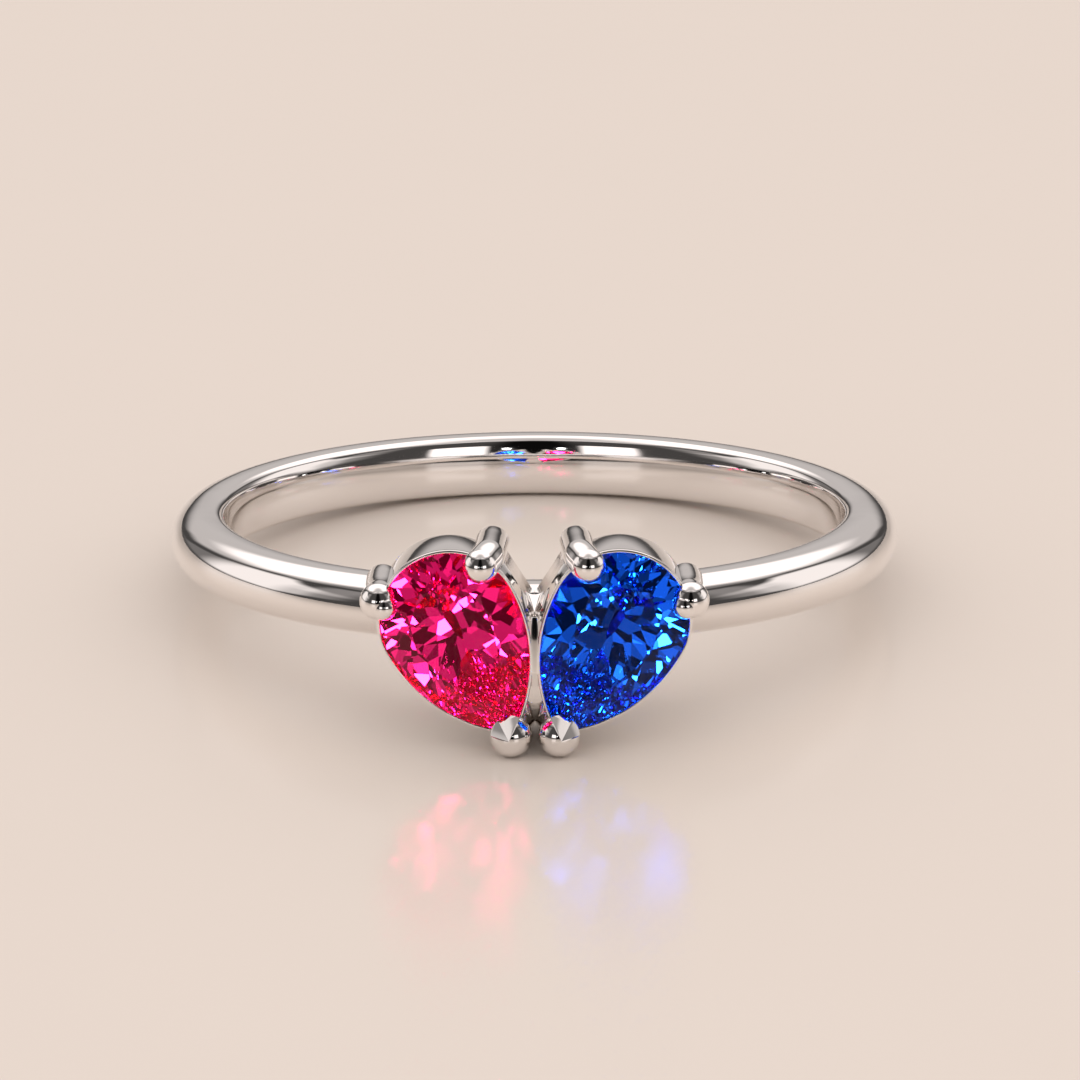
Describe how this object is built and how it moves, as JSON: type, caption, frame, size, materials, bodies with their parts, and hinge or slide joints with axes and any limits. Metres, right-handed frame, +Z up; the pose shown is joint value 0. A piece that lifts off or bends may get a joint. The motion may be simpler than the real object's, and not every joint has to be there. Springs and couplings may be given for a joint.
{
  "type": "finger ring",
  "caption": "Polished white metal finger ring with a pink and a blue pear-cut stone in claw settings, tips down, forming a heart on a plain round shank.",
  "frame": {"origin": "centre of the finger hole, halfway through the shank", "axes": "+Z up as the ring lies on its side, -Y towards the stones, +X to the right when one looks at the stones, with the blue stone on the right; the finger hole's axis leans back from +Z by the ring's lean at rest"},
  "size_m": [0.0204, 0.024, 0.0059],
  "materials": {
    "polished_white_gold": "mirror polished, rhodium plated white gold",
    "pink_stone": "faceted and polished pink stone",
    "blue_stone": "faceted and polished blue stone"
  },
  "bodies": {
    "root": {"band_and_setting": "polished_white_gold", "pink_pear_stone": "pink_stone", "blue_pear_stone": "blue_stone"}
  },
  "joints": []
}
